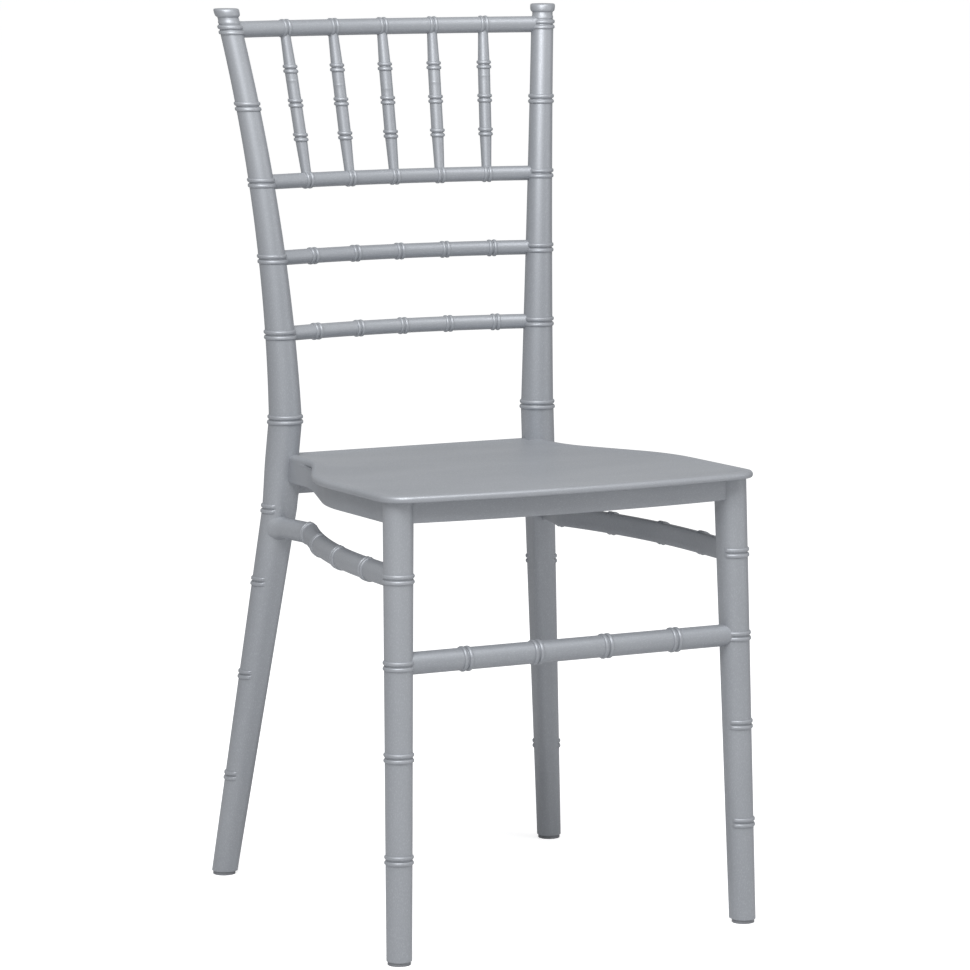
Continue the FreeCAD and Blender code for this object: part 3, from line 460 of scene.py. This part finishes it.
def spindleLoops(number):
    low, high = upperRings[2], upperRings[0]
    foot = (number * rails["pitch"], railBack(low, number * rails["pitch"]))
    top = (number * rails["topPitch"], railBack(high, number * rails["topPitch"]))
    rings = [spindle["middle"] + step * spindle["ringGap"] for step in (-1, 0, 1)]
    start, end = low + rails["radius"] - spindle["letIn"], high - rails["topRadius"] + spindle["letIn"]
    weld = spindle["welds"][number + 2]
    grid = evenly(start, end, spindle["gridStep"]) + [weld + step * spindle["weldHalf"] for step in (-1, 0, 1)]
    loops = []
    for z, share in stationsWith(sorted(grid), rings, ring["spindleHalf"]):
        off = abs(z - spindle["middle"])
        free = (off - spindle["ringGap"]) / ((end - start) / 2 - spindle["ringGap"])
        reach = mixed(spindle["radius"], spindle["endRadius"], min(1.0, max(0.0, free)) ** spindle["taper"])
        reach += share * ring["spindleRise"]
        if z == weld:
            reach += spindle["weldRise"]
        x = mixed(foot[0], top[0], (z - low) / (high - low))
        y = mixed(foot[1], top[1], (z - low) / (high - low))
        loops.append([Vector((x + reach * math.cos(angle), y + reach * math.sin(angle), z)) * mm
                      for angle in around(sectionPoints["spindle"])])
    return loops


for number in range(-2, 3):
    name = "spindle_%d" % (number + 3)
    finishPiece(makeSkin(spindleLoops(number)), "turned_" + name, name, frameResin)
print("spindles made")


# front stretcher
stretcher = {
    "z": 296.5, "radius": 11.15, "endGap": 6.0, "pitch": 78.0, "half": 5.0, "rise": 1.55, "gridStep": 12.0,
}


def stretcherLoops():
    x, y = frontAxis(stretcher["z"])
    end = x - stretcher["endGap"]
    rings = [step * stretcher["pitch"] for step in (-1.5, -0.5, 0.5, 1.5)]
    loops = []
    for x, share in stationsWith(evenly(-end, end, stretcher["gridStep"]), rings, stretcher["half"]):
        reach = stretcher["radius"] + share * stretcher["rise"]
        middle = Vector((x, y, stretcher["z"]))
        loops.append([(middle + Vector((0.0, math.cos(angle), math.sin(angle))) * reach) * mm
                      for angle in around(sectionPoints["stretcher"])])
    return loops


finishPiece(makeSkin(stretcherLoops()), "frontStretcher", "front_stretcher", railResin)
print("front stretcher made")


# side stretchers: round outside, flat inside, bent near the rear leg
sideRail = {
    "z": 380.5, "radius": 11.1, "flat": 4.0, "edge": 1.6, "kneeY": 95.1, "kneeRadius": 34.0,
    "bowRadius": 640.0, "bowX": 187.0, "bowY": -136.4, "rearLetIn": 7.5, "frontLetIn": 6.5,
    "ringYs": (20.6, -60.9, -136.9), "half": 5.0, "rise": 1.5, "fade": 14.0,
    "rootLength": 17.0, "rootFlare": 3.4, "coverHalf": 104.0,
    "rootShares": (0.0, 0.1, 0.2, 0.3, 0.4, 0.55, 0.7, 0.85), "bendSteps": 8, "bowSteps": 30, "endSteps": 6,
}


def sidePath():
    # the stretcher's route as points, with X outward: a straight root, a tight bend, a long bow
    level = sideRail["z"]
    x, y = postAxis(level)
    start = Vector((x, y - postRadius(level) + sideRail["rearLetIn"]))
    x, y = frontAxis(level)
    finish = Vector((x, y + frontRadius(level) - sideRail["frontLetIn"]))
    bow, bend = sideRail["bowRadius"], sideRail["kneeRadius"]
    bowStart = Vector((sideRail["bowX"], sideRail["bowY"]))
    bowCentre = bowStart - Vector((bow, 0.0))
    rise = sideRail["kneeY"] - bowStart.y
    knee = Vector((bowCentre.x + math.sqrt(bow ** 2 - rise ** 2), sideRail["kneeY"]))
    along = (knee - start).normalized()
    outward = Vector((-along.y, along.x))
    base = start + outward * bend - bowCentre
    half = base.dot(along)
    reach = -half - math.sqrt(half ** 2 - base.dot(base) + (bow + bend) ** 2)
    centre = start + outward * bend + along * reach
    if reach < 0:
        raise RuntimeError("the side stretcher's bend has no place")
    bendStart, bendEnd = start + along * reach, centre + (bowCentre - centre).normalized() * bend
    route = [start + (bendStart - start) * share for share in sideRail["rootShares"]]
    first, last = ((spot - centre).angle_signed(Vector((1, 0))) for spot in (bendStart, bendEnd))
    turn = wrapped(last - first)
    for step in range(sideRail["bendSteps"] + 1):
        angle = first + turn * step / sideRail["bendSteps"]
        route.append(centre + Vector((math.cos(angle), math.sin(angle))) * bend)
    sweepAngle = math.asin((bendEnd.y - bowCentre.y) / bow)
    for step in range(1, sideRail["bowSteps"] + 1):
        angle = sweepAngle * (1 - step / sideRail["bowSteps"])
        route.append(bowCentre + Vector((math.cos(angle), math.sin(angle))) * bow)
    for step in range(1, sideRail["endSteps"] + 1):
        route.append(bowStart + (finish - bowStart) * step / sideRail["endSteps"])
    return route, (bendStart + bendEnd) / 2


def pathLengths(route):
    lengths = [0.0]
    for first, second in zip(route, route[1:]):
        lengths.append(lengths[-1] + (second - first).length)
    return lengths


def onPath(route, lengths, at):
    # place and direction at a distance along the route
    number = max(0, min(len(route) - 2, sum(1 for length in lengths[1:-1] if length <= at)))
    share = (at - lengths[number]) / (lengths[number + 1] - lengths[number])
    before, after = route[max(0, number - 1)], route[min(len(route) - 1, number + 2)]
    here = (route[number + 1] - route[number]).normalized()
    back = (route[number] - before).normalized() if number else here
    front = (after - route[number + 1]).normalized() if number < len(route) - 2 else here
    first, second = (back + here).normalized(), (here + front).normalized()
    return route[number].lerp(route[number + 1], share), first.lerp(second, share).normalized()


def flatReach(angle, radius):
    # a round section cut flat on its inner side (angle 180 degrees), its edges eased
    flat, edge = sideRail["flat"], sideRail["edge"]
    toFlat = -flat / math.cos(angle) if math.cos(angle) < -1e-6 else 1e9
    gap = radius - toFlat
    return (radius + toFlat - math.sqrt(gap ** 2 + edge ** 2)) / 2 if toFlat < 1e8 else radius


def sideLoops(side):
    route, knee = sidePath()
    lengths = pathLengths(route)
    near = min(range(len(route)), key=lambda number: (route[number] - knee).length)
    rings = [lengths[near]]
    for y in sideRail["ringYs"]:
        after = next(number for number, spot in enumerate(route) if spot.y < y)
        share = (route[after - 1].y - y) / (route[after - 1].y - route[after].y)
        rings.append(mixed(lengths[after - 1], lengths[after], share))
    loops = []
    for at, share in stationsWith(sorted(lengths), rings, sideRail["half"]):
        spot, along = onPath(route, lengths, at)
        outward = Vector((-along.y, along.x))
        if outward.x < 0:
            outward = -outward
        flare = sideRail["rootFlare"] * smoothStep(sideRail["rootLength"], 0.0, at) ** 2
        loop = []
        for angle in around(sectionPoints["sideRail"]):
            away = math.degrees(abs(wrapped(angle)))
            cover = smoothStep(0.0, sideRail["fade"], sideRail["coverHalf"] - away)
            reach = flatReach(angle, sideRail["radius"] + flare) + share * cover * sideRail["rise"]
            flatPlace = spot + outward * (reach * math.cos(angle))
            loop.append(Vector((side * flatPlace.x, flatPlace.y,
                                sideRail["z"] + reach * math.sin(angle))) * mm)
        loops.append(loop)
    return loops


for word, side in sides.items():
    finishPiece(makeSkin(sideLoops(side)), "sideStretcher_" + word, "side_stretcher_" + word,
                frameResin)
print("side stretchers made")


# seat: raked, with a rolled rim, a shallow dish, a skirt and ribs below
planSteps = {"rear": 6, "neck": 6, "hollow": 8, "round": 12, "side": 8, "corner": 8, "bow": 12}
seat = {
    "z": 460.1, "rake": 1.07, "neck": 150.0, "wide": 208.0, "skirtWide": 197.5, "rear": 165.1,
    "front": -241.4, "apronFront": -222.9, "bow": 1200.0, "corner": 30.0, "skirtCorner": 16.0,
    "ogeeStart": 106.1, "ogeeEnd": -83.9, "hollow": 110.0, "round": 190.0, "rim": 7.0, "skirt": 29.0,
    "apron": 44.0, "wall": 3.2, "ribHeight": 8.0, "ribLetIn": 0.8, "ribWall": 2.6,
    "ribPitchX": 62.0, "ribPitchY": 66.0,
    "dish": 3.4, "rollFrom": 84.0, "rollTo": 122.0, "apronFrom": 6.0, "apronTo": 1.0, "edge": 0.6,
    "underFlat": 50.0, "underEdge": 4.0, "underFillet": 3.0, "upstand": 3.0,
    # inset and depth along the rim, then along the neck
    "lip": (-0.8, 7.0, 0.0, 6.8),
    "rimRows": ((1.6, 6.9, 0.0, 5.9), (0.5, 6.1, 0.0, 4.9), (0.0, 4.8, 0.15, 3.8), (0.0, 3.0, 0.5, 2.7),
                (0.6, 1.7, 1.2, 1.7), (1.7, 0.6, 2.3, 0.9), (3.6, 0.1, 3.9, 0.4), (6.5, 0.0, 6.2, 0.2)),
    "topRows": ((9.5, 0.2), (12.5, 1.0), (15.5, 1.9), (19.0, 2.3), (32.0, 2.8), (55.0, 3.4)),
}


def arcPoints(centre, radius, first, last, count):
    return [centre + Vector((math.cos(angle), math.sin(angle))) * radius
            for angle in (mixed(first, last, step / count) for step in range(1, count + 1))]


def halfPlan(wide, front, corner, inset):
    # the right half of an outline from rear to front, `inset` inside the named one
    neck, rear = seat["neck"] - inset, seat["rear"] - inset
    wide, front, corner = wide - inset, front + inset, max(0.5, corner - inset)
    hollow, rounded, bow = seat["hollow"] + inset, seat["round"] - inset, seat["bow"] - inset
    both = hollow + rounded
    aside = both - (wide - neck)
    length = seat["ogeeStart"] - seat["ogeeEnd"]
    straight = math.sqrt(max(0.0, aside ** 2 + length ** 2 - both ** 2))
    turn = math.atan2(length, aside) - math.atan2(straight, both)
    hollowAt = Vector((neck + hollow, seat["ogeeStart"]))
    roundAt = Vector((wide - rounded, seat["ogeeEnd"]))
    bowAt = Vector((0.0, front + bow))
    cornerAt = Vector((wide - corner, 0.0))
    cornerAt.y = bowAt.y - math.sqrt((bow - corner) ** 2 - cornerAt.x ** 2)
    rearSteps, neckSteps, sideSteps = (planSteps[word] for word in ("rear", "neck", "side"))
    plan = [Vector((neck * step / rearSteps, rear)) for step in range(rearSteps + 1)]
    plan += [Vector((neck, mixed(rear, seat["ogeeStart"], step / neckSteps)))
             for step in range(1, neckSteps + 1)]
    plan += arcPoints(hollowAt, hollow, math.pi, math.pi + turn, planSteps["hollow"])
    plan += arcPoints(roundAt, rounded, turn, 0.0, planSteps["round"])
    plan += [Vector((wide, mixed(seat["ogeeEnd"], cornerAt.y, step / sideSteps)))
             for step in range(1, sideSteps + 1)]
    toBow = math.atan2(cornerAt.y - bowAt.y, cornerAt.x)
    plan += arcPoints(cornerAt, corner, 0.0, toBow, planSteps["corner"])
    plan += arcPoints(bowAt, bow, toBow, -math.pi / 2, planSteps["bow"])
    return plan


def wholePlan(kind, inset):
    named = {"rim": ("wide", "front", "corner"), "skirt": ("skirtWide", "apronFront", "skirtCorner")}[kind]
    half = halfPlan(*(seat[word] for word in named), inset)
    return half + [Vector((-spot.x, spot.y)) for spot in reversed(half[1:-1])]


def seatPlace(spot, depth):
    rake = math.radians(seat["rake"])
    return Vector((spot.x, spot.y * math.cos(rake) - depth * math.sin(rake),
                   seat["z"] - spot.y * math.sin(rake) - depth * math.cos(rake))) * mm


def seatRow(kind, inset, depth, neckInset=None, neckDepth=None, apronDepth=None):
    # one loop of the seat; along the neck it takes the neck's own inset and depth
    apronAt, apronEnd = seat["rear"] - seat["apronFrom"], seat["rear"] - seat["apronTo"]
    neckInset = inset if neckInset is None else neckInset
    loop = []
    for first, second in zip(wholePlan(kind, inset), wholePlan(kind, neckInset)):
        share = smoothStep(seat["rollFrom"], seat["rollTo"], first.y)
        down = mixed(depth, depth if neckDepth is None else neckDepth, share)
        if apronDepth is not None:
            down = mixed(down, apronDepth, smoothStep(apronAt, apronEnd, first.y))
        loop.append(seatPlace(first.lerp(second, share), down))
    return loop


def seatLoops():
    wall, skirt, apron, rim, edge = (seat[word] for word in ("wall", "skirt", "apron", "rim", "edge"))
    under = seat["dish"] + wall
    rows = [
        seatRow("skirt", wall + seat["underFlat"], under),
        seatRow("skirt", wall + seat["underEdge"], under),
        seatRow("skirt", wall, under + seat["underFillet"]),
        seatRow("skirt", wall, skirt - edge, apronDepth=apron - edge),
        seatRow("skirt", wall - edge, skirt, apronDepth=apron),
        seatRow("skirt", edge, skirt, apronDepth=apron),
        seatRow("skirt", 0.0, skirt - edge, apronDepth=apron - edge),
        seatRow("skirt", 0.0, rim + seat["upstand"]),
        seatRow("skirt", 0.0, rim + edge),
        seatRow("skirt", *seat["lip"]),
    ]
    rows += [seatRow("rim", *numbers) for numbers in seat["rimRows"]]
    return rows + [seatRow("rim", *numbers) for numbers in seat["topRows"]]


def addRibs(bm):
    # ribs run front to back and side to side, each ending in the middle of the skirt's wall
    plan = halfPlan(seat["skirtWide"], seat["apronFront"], seat["skirtCorner"], seat["wall"] / 2)
    top = seat["dish"] + seat["wall"] - seat["ribLetIn"]
    middleY = (seat["rear"] + seat["apronFront"]) / 2
    blocks = []
    for step in range(-2, 3):
        x = step * seat["ribPitchX"]
        frontY = seat["apronFront"] + x ** 2 / (2 * seat["bow"]) + seat["wall"] / 2
        backY = seat["rear"] - seat["wall"] / 2
        blocks.append((x, (frontY + backY) / 2, seat["ribWall"], backY - frontY))
        y = middleY + step * seat["ribPitchY"]
        half = next(first.x for first, second in zip(plan[planSteps["rear"]:], plan[planSteps["rear"] + 1:])
                    if second.y <= y)
        blocks.append((0.0, y, 2 * half, seat["ribWall"]))
    for x, y, wide, deep in blocks:
        made = bmesh.ops.create_cube(bm, size=1.0)["verts"]
        for vert in made:
            spot = Vector((x + vert.co.x * wide, y + vert.co.y * deep))
            vert.co = seatPlace(spot, top + (0.5 - vert.co.z) * (seat["ribHeight"] + seat["ribLetIn"]))


bm = makeSkin(seatLoops())
addRibs(bm)
finishPiece(bm, "seatShell", "seat", seatResin)
print("seat made")

for foot in ("glide_front_left", "glide_front_right", "glide_rear_left", "glide_rear_right"):
    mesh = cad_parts[foot].data
    mesh.materials.clear()
    mesh.materials.append(footPlastic)
print("glides dressed")


# floor, light and camera; floorSize, clipEnd and lampAim are in metres, sensor and focal in millimetres
studio = {
    "floor": (0.66, 0.66, 0.665), "floorSize": 240.0, "floorGlow": 0.70, "world": 0.46,
    "target": (0.0, -24.4, 450.0), "azimuth": -26.54, "elevation": 8.01, "distance": 4436.0,
    "focal": 160.48, "shift": (-0.0035, -0.01216),
    "sensor": 36.0, "clipEnd": 500.0, "lampAim": (0.0, 0.0, 0.5),
}
lamps = {  # place in metres, size, watts
    "key": ((-1.3, -1.6, 2.7), 1.7, 70.0),
    "fill": ((3.2, -2.4, 1.5), 2.6, 16.0),
    "top": ((0.2, -1.6, 3.7), 2.2, 40.0),
}


def cameraRay(tree):
    return tree.nodes.new("ShaderNodeLightPath").outputs["Is Camera Ray"]


def makeFloor():
    bm = bmesh.new()
    bmesh.ops.create_grid(bm, x_segments=1, y_segments=1, size=studio["floorSize"] / 2)
    mesh = bpy.data.meshes.new("floor")
    bm.to_mesh(mesh)
    bm.free()
    floor = bpy.data.objects.new("floor", mesh)
    bpy.context.scene.collection.objects.link(floor)
    material = bpy.data.materials.new("paleFloor")
    material.use_nodes = True
    tree = material.node_tree
    tree.nodes.clear()
    matte = tree.nodes.new("ShaderNodeBsdfDiffuse")
    matte.inputs["Color"].default_value = (*studio["floor"], 1.0)
    glow = tree.nodes.new("ShaderNodeEmission")
    added = tree.nodes.new("ShaderNodeAddShader")
    out = tree.nodes.new("ShaderNodeOutputMaterial")
    strength = tree.nodes.new("ShaderNodeMath")
    strength.operation = "MULTIPLY"
    strength.inputs[1].default_value = studio["floorGlow"]
    tree.links.new(cameraRay(tree), strength.inputs[0])
    tree.links.new(strength.outputs[0], glow.inputs["Strength"])
    tree.links.new(matte.outputs[0], added.inputs[0])
    tree.links.new(glow.outputs[0], added.inputs[1])
    tree.links.new(added.outputs[0], out.inputs["Surface"])
    mesh.materials.append(material)


def makeWorld():
    world = bpy.data.worlds.new("studio")
    bpy.context.scene.world = world
    world.use_nodes = True
    tree = world.node_tree
    background = tree.nodes["Background"]
    background.inputs["Color"].default_value = (1.0, 1.0, 1.0, 1.0)
    strength = tree.nodes.new("ShaderNodeMix")
    strength.inputs[2].default_value = studio["world"]
    strength.inputs[3].default_value = 1.0
    tree.links.new(cameraRay(tree), strength.inputs[0])
    tree.links.new(strength.outputs[0], background.inputs["Strength"])


def makeLamps():
    for name, (place, wide, watts) in lamps.items():
        light = bpy.data.lights.new(name, "AREA")
        light.shape = "DISK"
        light.size = wide
        light.energy = watts
        lamp = bpy.data.objects.new(name, light)
        lamp.location = place
        aim = Vector(studio["lampAim"]) - lamp.location
        lamp.rotation_euler = aim.to_track_quat("-Z", "Y").to_euler()
        bpy.context.scene.collection.objects.link(lamp)


def makeCamera():
    turn, lift = math.radians(studio["azimuth"]), math.radians(studio["elevation"])
    back = Vector((math.sin(turn) * math.cos(lift), -math.cos(turn) * math.cos(lift), math.sin(lift)))
    data = bpy.data.cameras.new("camera")
    data.lens = studio["focal"]
    data.sensor_width = studio["sensor"]
    data.shift_x, data.shift_y = studio["shift"]
    data.clip_end = studio["clipEnd"]
    camera = bpy.data.objects.new("camera", data)
    camera.location = (Vector(studio["target"]) + back * studio["distance"]) * mm
    camera.rotation_euler = (-back).to_track_quat("-Z", "Y").to_euler()
    bpy.context.scene.collection.objects.link(camera)
    bpy.context.scene.camera = camera


makeFloor()
makeWorld()
makeLamps()
makeCamera()
bpy.context.scene.view_settings.view_transform = "Standard"
print("studio made")
